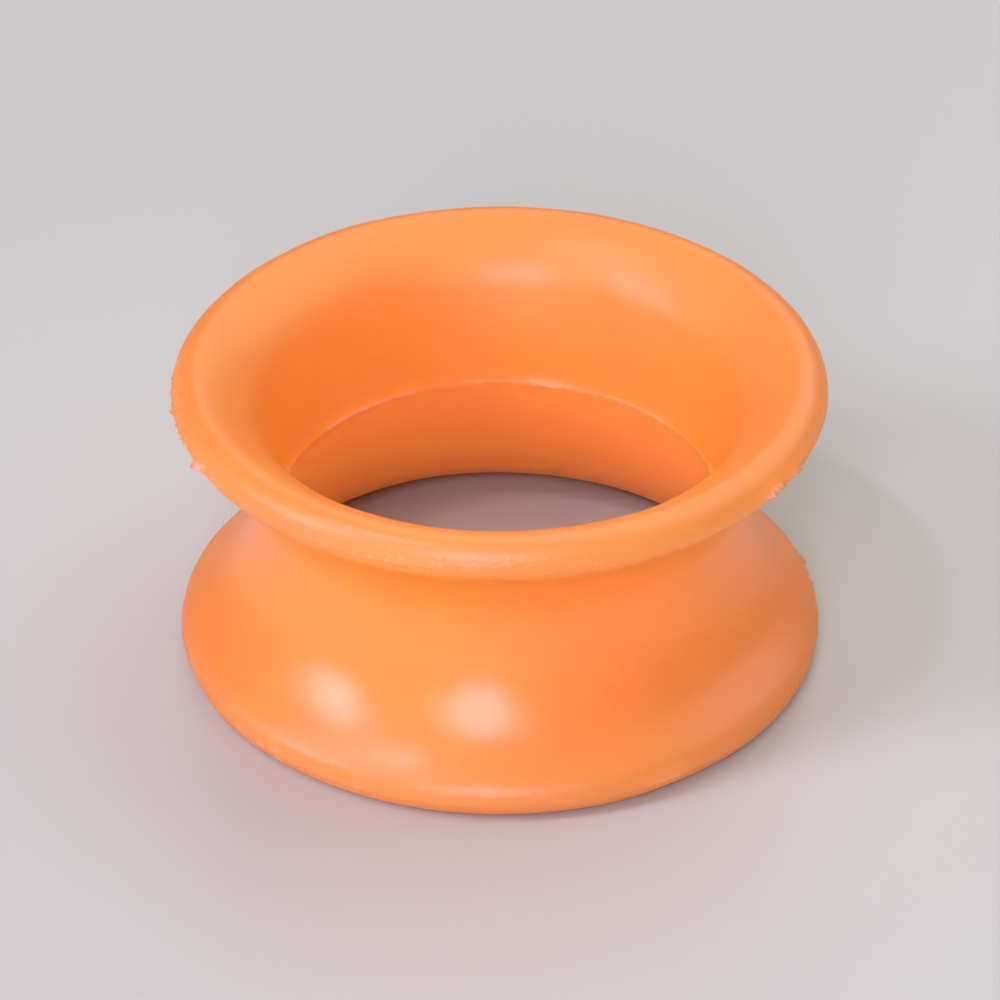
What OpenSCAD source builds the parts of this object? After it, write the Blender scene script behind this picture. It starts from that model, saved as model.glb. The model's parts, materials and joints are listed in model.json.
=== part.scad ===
// Double-flared ear tunnel, moulded in one piece of soft silicone.
// It lies on its lower rim. The axis is +Z, and the origin is the middle of that rim's resting circle.

/* [Waist] */
// Outside diameter of the waist, where the ear lobe sits (the gauge)
gauge_d = 20; // [19.2:0.2:21.6]
// Diameter of the bore at its narrowest, halfway along
bore_d = 18.2; // [16.6:0.2:18.4]

/* [Flared rims] */
// Outside diameter of both rims
rim_d = 26.6; // [25.6:0.2:30]
// Length of the tunnel over both rims
tunnel_l = 13.2; // [12:0.2:16]
// Thickness of the rounded lip that ends each rim
lip_t = 1.9; // [1.6:0.1:2.2]

/* [Hidden] */

// Segments of a full circle, along the profile's arcs and around the axis
smooth = 144;

// How far the flares open from the axis, in degrees: outside under the lip, and inside the rim
flare_out = 52;
flare_in = 50;
// The bore opens slowly to this angle, then turns into the flare with a bend of this radius
bore_taper = 18;
bend_r = 2.1;
// Where two sides of the wall run into each other smoothly, one lies this much inside the other, so
// that they cross at a clear point
cross = 0.005;

// The profile is drawn in the half-plane [distance from the axis, height over the mid-plane].
// Only its upper half is worked out. mirrored() gives the lower one.
function mirrored(point) = [point[0], -point[1]];
function along(angle) = [cos(angle), sin(angle)];

// Lip: a round that both flares run into, and the two points where they touch it
lip_r = lip_t / 2;
lip_c = [rim_d / 2 - lip_r, tunnel_l / 2 - lip_r];
lip_out = lip_c + lip_r * along(-flare_out);
lip_in = lip_c + lip_r * along(180 - flare_in);

// Saddle: one arc around the waist. It stands upright halfway along and ends where the flare starts.
saddle_r = ((gauge_d / 2 - lip_out[0]) * cos(flare_out) + lip_out[1] * sin(flare_out))
    / (1 - cos(flare_out));
saddle_c = [gauge_d / 2 + saddle_r, 0];

// Bore: a long shallow arc, and a short bend from its end into the inner flare
bore_r = bend_r + ((bore_d / 2 + bend_r - lip_in[0]) * cos(flare_in) + lip_in[1] * sin(flare_in) - bend_r)
    / (sin(flare_in) * sin(bore_taper) - cos(flare_in) * (1 - cos(bore_taper)));
bore_c = [bore_d / 2 + bore_r, 0];
bore_end = bore_c + bore_r * along(180 - bore_taper);
bend_c = bore_end - (bend_r - cross) * along(180 - bore_taper);

// Corners of the wall's straight-sided middle, each a little inside the round that it meets
saddle_corner = saddle_c + (saddle_r - cross) * along(180 - flare_out);
lip_out_corner = lip_c + (lip_r - cross) * along(-flare_out);
lip_in_corner = lip_c + (lip_r - cross) * along(180 - flare_in);
bend_corner = bend_c + (bend_r - cross) * along(180 - flare_in);
bore_corner = bend_c + (bend_r - 0.2) * along(180 - bore_taper);

module wall_middle() {
    upper = [saddle_corner, lip_out_corner, lip_c, lip_in_corner, bend_corner, bore_corner];
    polygon(concat(upper, [for (i = [len(upper) - 1:-1:0]) mirrored(upper[i])]));
}

// The bore's long arc, out to the two bends
module bore_side() {
    beyond = bore_c + 1.3 * (bore_end - bore_c);
    intersection() {
        translate(bore_c)
            circle(r = bore_r, $fn = smooth);
        polygon([saddle_c, bore_end, beyond, mirrored(beyond), mirrored(bore_end)]);
    }
}

// The upper bend, from inside the bore's arc to inside the flare
module bend_side() {
    intersection() {
        translate(bend_c)
            circle(r = bend_r, $fn = smooth);
        polygon([
            bend_c,
            bend_c + 1.3 * bend_r * along(170 - flare_in),
            bend_c + 1.3 * bend_r * along(190 - bore_taper)
        ]);
    }
}

module wall_profile() {
    difference() {
        union() {
            wall_middle();
            bore_side();
            bend_side();
            mirror([0, 1])
                bend_side();
        }
        translate(saddle_c)
            circle(r = saddle_r, $fn = smooth);
    }
    for (end = [-1, 1])
        translate([lip_c[0], end * lip_c[1]])
            circle(r = lip_r, $fn = smooth);
}

module tunnel() {
    color("darkorange")
        translate([0, 0, tunnel_l / 2])
            rotate_extrude($fn = smooth)
                wall_profile();
}

tunnel();
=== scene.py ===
import json
import math

import bmesh
import bpy
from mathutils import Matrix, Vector, noise


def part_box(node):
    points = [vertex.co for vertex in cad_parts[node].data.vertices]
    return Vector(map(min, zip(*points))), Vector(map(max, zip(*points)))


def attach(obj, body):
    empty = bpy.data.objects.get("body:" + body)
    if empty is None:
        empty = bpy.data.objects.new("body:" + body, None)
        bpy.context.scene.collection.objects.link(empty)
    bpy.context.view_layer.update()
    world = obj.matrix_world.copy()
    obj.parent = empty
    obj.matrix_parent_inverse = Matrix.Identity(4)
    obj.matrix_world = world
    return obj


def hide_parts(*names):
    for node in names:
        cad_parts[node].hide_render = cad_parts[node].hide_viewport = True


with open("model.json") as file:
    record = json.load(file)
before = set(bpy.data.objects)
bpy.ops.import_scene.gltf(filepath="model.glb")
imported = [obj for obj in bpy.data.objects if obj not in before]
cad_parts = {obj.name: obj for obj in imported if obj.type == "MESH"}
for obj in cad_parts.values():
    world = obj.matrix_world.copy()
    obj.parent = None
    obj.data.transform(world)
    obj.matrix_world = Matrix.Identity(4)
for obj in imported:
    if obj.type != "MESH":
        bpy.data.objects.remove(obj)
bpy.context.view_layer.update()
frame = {"record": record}

# The tunnel is one moulding of soft orange silicone: a hollow waist that flares at both ends into a
# rounded lip. Its section is drawn as the mould was turned, arc by arc round the section, and then
# turned once round the axis. It lies on its lower rim.
low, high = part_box("tunnel")
seat = frame["record"]["mounts"][0]["dims"]
middle = Vector((0, 0, (low.z + high.z) / 2))
waist_r = seat["r_mm"] / 1000
throat_r = 0.0091
lip_r = 0.00095
bend_r = 0.0026
# How far the outer flare opens from the axis, and how far the bore has opened at its two ends
flare_out = math.radians(52)
taper = math.radians(18)
# Where the inner flange starts on the lip's round, and where it passes into the bend, turned from +X
lip_turn = math.radians(118)
flange_turn = math.radians(136)
same_point = 1e-6        # points nearer to each other than this are one point


def along(angle):
    """Unit vector in the plane Y = 0, turned from +X towards +Z"""
    return Vector((math.cos(angle), 0, math.sin(angle)))


def mirrored(point):
    """The same point of the section's lower half"""
    return Vector((point.x, 0, -point.z))


lip = Vector((high.x - lip_r, 0, (high.z - low.z) / 2 - lip_r))
lip_out = lip + lip_r * along(-flare_out)
saddle_r = (waist_r - lip_out.x) * math.cos(flare_out) + lip_out.z * math.sin(flare_out)
saddle_r /= 1 - math.cos(flare_out)
saddle = Vector((waist_r + saddle_r, 0, 0))
saddle_end = saddle + saddle_r * along(math.pi - flare_out)


def off_bore(point):
    """How far out a point lies from the slope on which a round that runs into the bore has its centre"""
    return point.x - math.tan(taper / 2) * point.z


# The inner flange is a slack curve from the lip's round to the bend, and the bend runs into the bore
lip_end = along(lip_turn)
bend_start = along(flange_turn)
flange_r = throat_r + bend_r * (1 + off_bore(bend_start)) - off_bore(lip + lip_r * lip_end)
flange_r /= off_bore(bend_start) - off_bore(lip_end)
flange = lip + (lip_r - flange_r) * lip_end
bend = flange + (flange_r - bend_r) * bend_start
bore_r = bend_r + bend.z / math.sin(taper)
bore = Vector((throat_r + bore_r, 0, 0))


def draw_arc(centre, angle, steps):
    """Draws the section on from its last point, round a centre given from the middle of the tunnel"""
    # With no window the spin turns clockwise about its axis, so a positive angle goes from +X to +Z
    bpy.ops.mesh.spin(steps=steps, angle=angle, center=middle + centre, axis=(0, 1, 0))


def draw_line(start, end, steps):
    """Draws the section straight on from its last point"""
    step = (end - start) / steps
    for _ in range(steps):
        bpy.ops.mesh.extrude_region_move(TRANSFORM_OT_translate={"value": step})


bpy.ops.object.select_all(action="DESELECT")
bpy.ops.mesh.primitive_plane_add(size=lip_r, location=middle + lip_out)
tunnel = bpy.context.object
tunnel.name = "silicone_tunnel"
bpy.ops.object.transform_apply(location=True, rotation=True, scale=True)
bpy.ops.object.mode_set(mode="EDIT")
bpy.ops.mesh.select_all(action="SELECT")
bpy.ops.mesh.merge(type="CENTER")
draw_arc(lip, flare_out + lip_turn, steps=22)
draw_arc(flange, flange_turn - lip_turn, steps=5)
draw_arc(bend, math.pi - taper - flange_turn, steps=6)
draw_arc(bore, 2 * taper, steps=14)
draw_arc(mirrored(bend), math.pi - taper - flange_turn, steps=6)
draw_arc(mirrored(flange), flange_turn - lip_turn, steps=5)
draw_arc(mirrored(lip), flare_out + lip_turn, steps=22)
draw_line(mirrored(lip_out), mirrored(saddle_end), steps=3)
draw_arc(saddle, -2 * flare_out, steps=18)
draw_line(saddle_end, lip_out, steps=3)
bpy.ops.mesh.select_all(action="SELECT")
bpy.ops.mesh.remove_doubles(threshold=same_point)
bpy.ops.object.mode_set(mode="OBJECT")
turning = tunnel.modifiers.new("turning", "SCREW")
turning.axis = "Z"
turning.steps = 840
turning.render_steps = turning.steps
turning.use_merge_vertices = True
turning.merge_threshold = same_point
bpy.ops.object.modifier_apply(modifier=turning.name)

# Two cores met halfway along the bore, and the two outer halves of the mould met at each lip's widest
# circle. Each joint left a fine raised film. The lips' seams were trimmed by hand, so they are ragged
# in places and keep a few small burrs.
near_seam = 0.0002           # how far from a seam's circle its points may lie
pale_rise = 0.0002           # film or a burr that stands this high is as pale as it gets
core_seam_width = 0.00014
core_film = 0.00006
core_film_swell = 0.00008
lip_seam_width = 0.00008
lip_film = 0.00004
torn_film = 0.00018
burr_width = 0.0002
# Ragged stretches have an angle and a half width. Burrs have an angle, a half width and a length in mm
upper_ragged = ((-160, 27), (-110, 20), (-33, 12), (44, 5), (118, 8))
upper_burrs = ((-153, 1.5, 0.4), (-36, 3, 0.3), (-28.5, 1.5, 0.24), (42, 1.5, 0.4), (-171, 1, 0.12))
lower_ragged = ((-126, 22), (20, 16), (96, 10), (-60, 6))
lower_burrs = ((-133, 1.4, 0.12), (17, 1.8, 0.16), (88, 1.5, 0.2), (-58, 1, 0.12))
bpy.ops.object.mode_set(mode="EDIT")


def select_seam(height, seam_r):
    """Selects the circle of points at a height over the middle and at a distance from the axis"""
    bpy.ops.mesh.select_all(action="DESELECT")
    mesh = bmesh.from_edit_mesh(tunnel.data)
    for vert in mesh.verts:
        in_ring = abs(vert.co.xy.length - seam_r) < near_seam
        vert.select = in_ring and abs(vert.co.z - middle.z - height) < same_point
    mesh.select_flush_mode()
    bmesh.update_edit_mesh(tunnel.data)


def raise_seam(height, seam_r, width, rise_at):
    """Turns a seam's circle into a band and rounds it up to rise_at(angle) along its middle"""
    select_seam(height, seam_r)
    bpy.ops.mesh.bevel(offset=width, offset_type="OFFSET", segments=4, affect="EDGES")
    mesh = bmesh.from_edit_mesh(tunnel.data)
    film = mesh.verts.layers.float.get("thin_film") or mesh.verts.layers.float.new("thin_film")
    for vert in mesh.verts:
        reach = vert.co.xy.length
        # The band's two outer rows stay where they are
        across = abs(vert.co.z - middle.z - height) / (0.96 * width)
        if across < 1 and abs(reach - seam_r) < near_seam + width:
            rise = rise_at(math.degrees(math.atan2(vert.co.y, vert.co.x))) * (1 - across**2)
            vert.co.xy *= (reach + rise) / reach
            vert[film] = min(1, abs(rise) / pale_rise)
    bmesh.update_edit_mesh(tunnel.data)


def wander(angle, scale, seed):
    """Noise from -1 to 1 along a circle, with scale as its number of swings"""
    turn = math.radians(angle)
    return noise.noise(Vector((math.cos(turn) * scale, math.sin(turn) * scale, seed)))


def core_rise(angle):
    """Height of the bore's seam, less than 0 because its film stands up towards the axis"""
    swell = max(0, 0.45 + wander(angle, 5, 1.5) + 0.6 * wander(angle, 37, 2.5))
    return -core_film - core_film_swell * swell


def nearness(angle, centre, half_width):
    """1 at the middle of a stretch of the circle, and 0 from its ends on"""
    away = abs((angle - centre + 180) % 360 - 180) / half_width
    return max(0, 1 - away**4)


def lip_rise(angle, ragged, seed):
    """Height of a lip's seam: a fine line, and torn film in the ragged stretches"""
    rise = lip_film * (1 + 0.25 * wander(angle, 9, seed))
    torn = max(0, wander(angle, 70, seed + 3) + 0.5 * wander(angle, 190, seed + 5))
    for centre, half_width in ragged:
        rise += (lip_film + torn_film * torn) * nearness(angle, centre, half_width)
    return rise


def grow_burrs(height, burrs, seed):
    """Pulls small lumpy burrs out of a lip's seam"""
    mesh = bmesh.from_edit_mesh(tunnel.data)
    film = mesh.verts.layers.float["thin_film"]
    for vert in mesh.verts:
        reach = vert.co.xy.length
        across = abs(vert.co.z - middle.z - height) / burr_width
        if across < 1 and reach > high.x - near_seam:
            angle = math.degrees(math.atan2(vert.co.y, vert.co.x))
            lobes = 0.85 + 0.6 * wander(angle, 60, seed) + 0.3 * wander(angle, 200, seed + 2)
            for centre, half_width, length in burrs:
                burr = 0.001 * length * max(0, lobes) * nearness(angle, centre, half_width)
                burr *= 1 - across**2
                vert.co.xy *= (reach + burr) / reach
                vert[film] = max(vert[film], min(1, burr / pale_rise))
    bmesh.update_edit_mesh(tunnel.data)


def trimmed_seam(height, ragged, burrs, seed):
    """Raises a lip's seam and its burrs"""
    raise_seam(height, high.x, lip_seam_width, lambda angle: lip_rise(angle, ragged, seed))
    grow_burrs(height, burrs, seed + 7)


raise_seam(0, throat_r, core_seam_width, core_rise)
trimmed_seam(lip.z, upper_ragged, upper_burrs, 10.5)
trimmed_seam(-lip.z, lower_ragged, lower_burrs, 20.5)
bpy.ops.mesh.select_all(action="SELECT")
bpy.ops.mesh.remove_doubles(threshold=0.1 * same_point)
bpy.ops.mesh.normals_make_consistent(inside=False)
bpy.ops.object.mode_set(mode="OBJECT")

# Silicone this soft comes out of the mould a little uneven, and a lip that has been trimmed and
# squeezed keeps faint waves. The lower lip lies flat on the floor where it touches.
unevenness = bpy.data.textures.new("soft_unevenness", "CLOUDS")
unevenness.noise_scale = 0.005
unevenness.noise_depth = 1
waves = tunnel.modifiers.new("waves", "DISPLACE")
waves.texture = unevenness
waves.texture_coords = "LOCAL"
waves.strength = 0.0001
waves.mid_level = 0.5
bpy.ops.object.modifier_apply(modifier=waves.name)
for vert in tunnel.data.vertices:
    vert.co.z = max(vert.co.z, 0)
bpy.ops.object.shade_smooth()

# The cores shaped what faces the axis. This is 1 there, 0 outside, and changes over the crest of each lip
core_side = tunnel.data.attributes.new("core_side", "FLOAT", "POINT")
for vert in tunnel.data.vertices:
    inward = -vert.normal.xy.dot(vert.co.xy.normalized())
    core_side.data[vert.index].value = min(1, max(0, 0.5 + 2 * inward))

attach(tunnel, "root")
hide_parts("tunnel")

# The silicone is coloured right through and a little translucent: light enters it and leaves again some
# millimetres away, so its shadows are soft and warm
silicone = bpy.data.materials.new("moulded_silicone")
silicone.use_nodes = True
nodes = silicone.node_tree.nodes
links = silicone.node_tree.links
shader = nodes["Principled BSDF"]
shader.subsurface_method = "BURLEY"
shader.inputs["Subsurface Radius"].default_value = (1.0, 0.95, 0.3)
shader.inputs["Subsurface Scale"].default_value = 0.0045
shader.inputs["IOR"].default_value = 1.45
shader.inputs["Specular IOR Level"].default_value = 0.8
place = nodes.new("ShaderNodeTexCoord")


def cloudy(scale, detail, low_value, high_value):
    """Noise on the object's coordinates, spread between two values"""
    cloud = nodes.new("ShaderNodeTexNoise")
    cloud.inputs["Scale"].default_value = scale
    cloud.inputs["Detail"].default_value = detail
    links.new(place.outputs["Object"], cloud.inputs["Vector"])
    spread = nodes.new("ShaderNodeMapRange")
    spread.inputs["From Min"].default_value = 0.3
    spread.inputs["From Max"].default_value = 0.7
    spread.inputs["To Min"].default_value = low_value
    spread.inputs["To Max"].default_value = high_value
    links.new(cloud.outputs["Fac"], spread.inputs["Value"])
    return spread.outputs["Result"]


def stored(name):
    """A number kept at the mesh's points"""
    attribute = nodes.new("ShaderNodeAttribute")
    attribute.attribute_name = name
    return attribute.outputs["Fac"]


def calculated(operation, first, second):
    """Result of a sum on two inputs. Each may be a number or another node's output"""
    sum_node = nodes.new("ShaderNodeMath")
    sum_node.operation = operation
    for socket, value in ((sum_node.inputs[0], first), (sum_node.inputs[1], second)):
        if isinstance(value, (int, float)):
            socket.default_value = value
        else:
            links.new(value, socket)
    return sum_node.outputs[0]


def faded(value, from_value, to_value):
    """Runs softly from 0 to 1 as a value goes from one number to another"""
    fade = nodes.new("ShaderNodeMapRange")
    fade.interpolation_type = "SMOOTHSTEP"
    fade.inputs["From Min"].default_value = from_value
    fade.inputs["From Max"].default_value = to_value
    links.new(value, fade.inputs["Value"])
    return fade.outputs["Result"]


# A Mix node keeps its sockets in groups: inputs 2 and 3 mix numbers, and inputs 6 and 7 mix colours
def blended(amount, first, second):
    """Number between two others, which are outputs of other nodes"""
    mix = nodes.new("ShaderNodeMix")
    links.new(amount, mix.inputs[0])
    links.new(first, mix.inputs[2])
    links.new(second, mix.inputs[3])
    return mix.outputs[0]


def tinted(amount, first, second):
    """Colour between two others. Each may be a colour or another node's output"""
    mix = nodes.new("ShaderNodeMix")
    mix.data_type = "RGBA"
    links.new(amount, mix.inputs[0])
    for socket, colour in ((mix.inputs[6], first), (mix.inputs[7], second)):
        if isinstance(colour, tuple):
            socket.default_value = (*colour, 1)
        else:
            links.new(colour, socket)
    return mix.outputs[2]


# Where a point is: its distance from the axis, its height over the middle, and how near it is to a
# trimmed seam
lip_depth = 0.0008
flat_place = nodes.new("ShaderNodeVectorMath")
flat_place.operation = "MULTIPLY"
flat_place.inputs[1].default_value = (1, 1, 0)
links.new(place.outputs["Object"], flat_place.inputs[0])
from_axis = nodes.new("ShaderNodeVectorMath")
from_axis.operation = "LENGTH"
links.new(flat_place.outputs["Vector"], from_axis.inputs[0])
split_place = nodes.new("ShaderNodeSeparateXYZ")
links.new(place.outputs["Object"], split_place.inputs[0])
above_middle = calculated("SUBTRACT", split_place.outputs["Z"], middle.z)
to_seam_z = calculated("SUBTRACT", calculated("ABSOLUTE", above_middle, 0), lip.z)
to_seam_r = calculated("SUBTRACT", from_axis.outputs["Value"], high.x)
squares = calculated("ADD", calculated("POWER", to_seam_z, 2), calculated("POWER", to_seam_r, 2))
in_lip = faded(from_axis.outputs["Value"], high.x - lip_depth, high.x)
by_seam = faded(calculated("SQRT", squares, 0), lip_depth, near_seam)

# Pigment: a warm orange that drifts between yellower and pinker. The lips are painted paler, a painted
# glow that stands in for light passing through the thin silicone there. The film along the seams is
# paler still, and too thin for light to scatter in
yellower = (0.93, 0.29, 0.044)
pinker = (0.93, 0.27, 0.05)
lip_glow_painted = (0.95, 0.37, 0.12)
pale_film = (0.95, 0.5, 0.38)
skin = tinted(calculated("MULTIPLY", in_lip, 0.12), tinted(cloudy(160, 2, 0, 1), yellower, pinker), lip_glow_painted)
film_share = calculated("MULTIPLY", calculated("POWER", stored("thin_film"), 2), 0.8)
links.new(tinted(film_share, skin, pale_film), shader.inputs["Base Color"])
links.new(calculated("SUBTRACT", 1, film_share), shader.inputs["Subsurface Weight"])

# Gloss: the outer mould was polished, the cores were duller, handling dulled the lips, and the film
# shines
gloss = blended(stored("core_side"), cloudy(420, 3, 0.28, 0.31), cloudy(420, 3, 0.4, 0.46))
gloss = blended(in_lip, gloss, cloudy(1500, 3, 0.38, 0.5))
gloss = blended(stored("thin_film"), gloss, cloudy(900, 1, 0.28, 0.3))
links.new(gloss, shader.inputs["Roughness"])

# Skin: a very fine grain from the mould, and scuffs where the lips were trimmed
grain = nodes.new("ShaderNodeBump")
grain.inputs["Strength"].default_value = 0.15
grain.inputs["Distance"].default_value = 0.00001
links.new(cloudy(7000, 2, 0, 1), grain.inputs["Height"])
scuffs = nodes.new("ShaderNodeBump")
scuffs.inputs["Strength"].default_value = 0.6
scuffs.inputs["Distance"].default_value = 0.00004
links.new(calculated("MULTIPLY", by_seam, cloudy(2600, 3, 0, 1)), scuffs.inputs["Height"])
links.new(grain.outputs["Normal"], scuffs.inputs["Normal"])
links.new(scuffs.outputs["Normal"], shader.inputs["Normal"])
tunnel.data.materials.append(silicone)

# The floor is a plain pale sheet with a slight gloss. It is wide enough for its edge to stay out of
# view unless the camera is near the ground
bpy.ops.object.select_all(action="DESELECT")
bpy.ops.mesh.primitive_plane_add(size=3, location=(0, 0, 0))
floor = bpy.context.object
floor.name = "floor"
sheet = bpy.data.materials.new("pale_floor")
sheet.use_nodes = True
sheet_shader = sheet.node_tree.nodes["Principled BSDF"]
sheet_shader.inputs["Base Color"].default_value = (0.59, 0.585, 0.52, 1)
sheet_shader.inputs["Roughness"].default_value = 0.35
floor.data.materials.append(sheet)


# Soft studio light: a tall softbox by the camera and one at the left give the two broad highlights, a
# small strip high on the left gives the thin ones, and wide sheets overhead and behind fill the rest
def softbox(name, azimuth, elevation, distance, width, height, power, tint):
    """Lamp aimed at the tunnel. Azimuth 0 is behind it, 90 at its right and 180 at the camera"""
    az, el = math.radians(azimuth), math.radians(elevation)
    away = Vector((math.sin(az) * math.cos(el), math.cos(az) * math.cos(el), math.sin(el)))
    lamp_data = bpy.data.lights.new(name, "AREA")
    lamp_data.shape = "ELLIPSE"
    lamp_data.size = width
    lamp_data.size_y = height
    lamp_data.energy = power
    lamp_data.color = tint
    lamp = bpy.data.objects.new(name, lamp_data)
    bpy.context.scene.collection.objects.link(lamp)
    lamp.location = middle + away * distance
    lamp.rotation_euler = (-away).to_track_quat("-Z", "Y").to_euler()


pinkish = (1.0, 0.94, 1.22)
neutral = (1.0, 0.98, 0.98)
softbox("lamp_by_camera", -172, 28, 0.6, 0.25, 0.52, 2.1, pinkish)
softbox("lamp_left", -109, 31, 0.6, 0.18, 0.38, 1.35, pinkish)
softbox("lamp_high", -118, 63, 0.7, 0.18, 0.05, 0.55, pinkish)
softbox("lamp_above", 0, 85, 0.7, 0.9, 0.9, 0.6, neutral)
softbox("lamp_behind", 40, 51, 0.7, 1.2, 0.9, 2.9, neutral)

studio = bpy.data.worlds.new("studio")
bpy.context.scene.world = studio
studio.use_nodes = True
surroundings = studio.node_tree.nodes["Background"]
surroundings.inputs["Color"].default_value = (0.95, 0.96, 1.0, 1)
surroundings.inputs["Strength"].default_value = 0.17

# The camera looks down on the upper rim at the photograph's angle, from the distance that gives the
# photograph's perspective
view_elevation = math.radians(33.8)
view_distance = 0.2063
camera_data = bpy.data.cameras.new("camera")
camera_data.sensor_width = 36
camera_data.lens = 180
camera_data.clip_start = 0.01
camera = bpy.data.objects.new("camera", camera_data)
bpy.context.scene.collection.objects.link(camera)
camera.location = middle + view_distance * Vector((0, -math.cos(view_elevation), math.sin(view_elevation)))
camera.rotation_euler = (math.pi / 2 - view_elevation, 0, 0)
bpy.context.scene.camera = camera
bpy.context.scene.view_settings.view_transform = "Standard"
